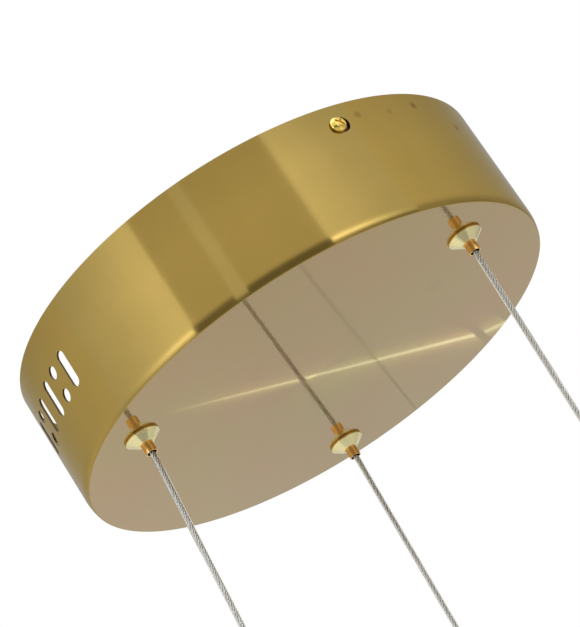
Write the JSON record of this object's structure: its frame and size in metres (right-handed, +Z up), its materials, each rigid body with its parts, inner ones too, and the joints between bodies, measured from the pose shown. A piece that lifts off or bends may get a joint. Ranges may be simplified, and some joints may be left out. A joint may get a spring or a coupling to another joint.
{
  "type": "chandelier ceiling canopy",
  "caption": "Round satin brass ceiling canopy of a chandelier on a hidden strap, with ball grippers that hold leaning suspension wires.",
  "frame": {"origin": "centre of the canopy on the ceiling plane, which is the top of the strap", "axes": "+Z up to the ceiling, +X along the strap towards the side screw that the picture shows, the wires hang to -Z"},
  "size_m": [0.256, 0.25, 0.2092],
  "materials": {
    "satin_brass": "satin, brushed round the drum",
    "pale_gold": "polished",
    "copper_gold": "polished",
    "gold_screw": "polished",
    "zinc_steel": "zinc plated",
    "ball_steel": "polished",
    "spring_steel": "drawn wire",
    "wire_rope": "stranded, in a clear jacket",
    "ferrule_brass": "satin",
    "splice_red": "moulded",
    "white_plastic": "moulded",
    "lid_plastic": "moulded",
    "board_green": "lacquered",
    "transformer_tape": "tape over ferrite",
    "capacitor_black": "sleeved",
    "sink_aluminium": "mill finish",
    "terminal_white": "moulded",
    "terminal_brass": "turned",
    "lead_brown": "insulation",
    "lead_blue": "insulation",
    "lead_green_yellow": "striped insulation",
    "lead_black": "insulation",
    "lead_red": "insulation"
  },
  "bodies": {
    "ceiling_mount": {"mounting_strap": "zinc_steel"},
    "right_screw": {"side_screw_right": "gold_screw"},
    "left_screw": {"side_screw_left": "gold_screw"},
    "canopy": {"canopy_shell": "satin_brass", "floor_studs": "zinc_steel", "gripper_body_front": "pale_gold", "grip_plug_front": "pale_gold", "grip_spring_front": "spring_steel", "gripper_body_left": "pale_gold", "grip_plug_left": "pale_gold", "grip_spring_left": "spring_steel", "gripper_body_right": "pale_gold", "grip_plug_right": "pale_gold", "grip_spring_right": "spring_steel", "gripper_washers": "zinc_steel", "gripper_nuts": "zinc_steel", "driver_case": "white_plastic", "driver_lid": "lid_plastic", "driver_board": "board_green", "driver_transformer": "transformer_tape", "driver_capacitors": "capacitor_black", "driver_heat_sink": "sink_aluminium", "driver_nuts": "zinc_steel", "terminal_block": "terminal_white", "terminal_sleeves": "terminal_brass", "terminal_screws": "zinc_steel", "terminal_nut": "zinc_steel", "earth_lug": "terminal_brass", "earth_nut": "zinc_steel", "earth_lead": "lead_green_yellow", "live_lead": "lead_brown", "neutral_lead": "lead_blue", "output_lead_left": "lead_black", "output_lead_right": "lead_red"},
    "nozzle_front": {"release_nozzle_front": "copper_gold", "grip_balls_front": "ball_steel"},
    "nozzle_left": {"release_nozzle_left": "copper_gold", "grip_balls_left": "ball_steel"},
    "nozzle_right": {"release_nozzle_right": "copper_gold", "grip_balls_right": "ball_steel"},
    "hanging_wire_front": {"wire_front": "wire_rope", "wire_tail_front": "wire_rope", "wire_end_front": "copper_gold", "tail_ferrule_front": "ferrule_brass"},
    "hanging_wire_left": {"wire_left": "wire_rope", "wire_tail_left": "wire_rope", "wire_end_left": "copper_gold", "tail_splice_left": "splice_red"},
    "hanging_wire_right": {"wire_right": "wire_rope", "wire_tail_right": "wire_rope", "wire_end_right": "copper_gold", "tail_splice_right": "splice_red"}
  },
  "joints": [
    {"name": "canopy_twist", "type": "hinge", "parent": "ceiling_mount", "child": "canopy", "pos_m": [0, 0, 0], "axis": [0, 0, 1], "range_deg": [-0.9, 0.6]},
    {"name": "right_screw_turn", "type": "hinge", "parent": "ceiling_mount", "child": "right_screw", "pos_m": [0.125, 0, -0.0108], "axis": [1, 0, 0], "continuous": true},
    {"name": "left_screw_turn", "type": "hinge", "parent": "ceiling_mount", "child": "left_screw", "pos_m": [-0.125, 0, -0.0108], "axis": [-1, 0, 0], "continuous": true},
    {"name": "nozzle_front_press", "type": "slide", "parent": "canopy", "child": "nozzle_front", "axis": [0, 0, 1], "range_m": [0, 0.002], "stiffness_N_per_m": 300, "springref_m": -0.004, "deforming": ["grip_spring_front"]},
    {"name": "nozzle_left_press", "type": "slide", "parent": "canopy", "child": "nozzle_left", "axis": [0, 0, 1], "range_m": [0, 0.002], "stiffness_N_per_m": 300, "springref_m": -0.004, "deforming": ["grip_spring_left"]},
    {"name": "nozzle_right_press", "type": "slide", "parent": "canopy", "child": "nozzle_right", "axis": [0, 0, 1], "range_m": [0, 0.002], "stiffness_N_per_m": 300, "springref_m": -0.004, "deforming": ["grip_spring_right"]},
    {"name": "wire_front_adjust", "type": "slide", "parent": "canopy", "child": "hanging_wire_front", "axis": [0, 0, 1], "range_m": [-0.008, 0.008]},
    {"name": "wire_left_adjust", "type": "slide", "parent": "canopy", "child": "hanging_wire_left", "axis": [0, 0, 1], "range_m": [-0.008, 0.008], "deforming": ["output_lead_left"]},
    {"name": "wire_right_adjust", "type": "slide", "parent": "canopy", "child": "hanging_wire_right", "axis": [0, 0, 1], "range_m": [-0.008, 0.008], "deforming": ["output_lead_right"]}
  ]
}
